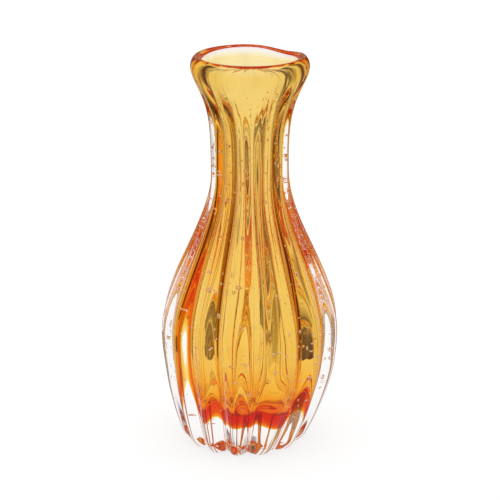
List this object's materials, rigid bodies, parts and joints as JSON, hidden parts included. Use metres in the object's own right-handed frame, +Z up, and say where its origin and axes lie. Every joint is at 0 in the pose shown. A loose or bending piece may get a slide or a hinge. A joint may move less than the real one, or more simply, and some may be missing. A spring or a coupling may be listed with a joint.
{
  "type": "glass bud vase",
  "caption": "Small hand-blown bud vase in cased glass: an amber core in thick clear ribbed crystal, with a narrow neck, a round lip and a heavy clear foot.",
  "frame": {"origin": "centre of the bounding box at the level of the foot, which is the axis of the belly and neck; the foot itself sits 2.3 mm towards -X", "axes": "+Z up out of the mouth; -Y is the front, with the crest of a rib on it; +X to the right of a viewer at the front"},
  "size_m": [0.0716, 0.0732, 0.16],
  "materials": {
    "amber_glass": "fire-polished transparent amber",
    "clear_crystal": "fire-polished, clear, with trapped air bubbles",
    "snapped_glass": "rough broken glass"
  },
  "bodies": {
    "root": {"amber_core": "amber_glass", "clear_casing": "clear_crystal", "pontil_scar": "snapped_glass"}
  },
  "joints": []
}
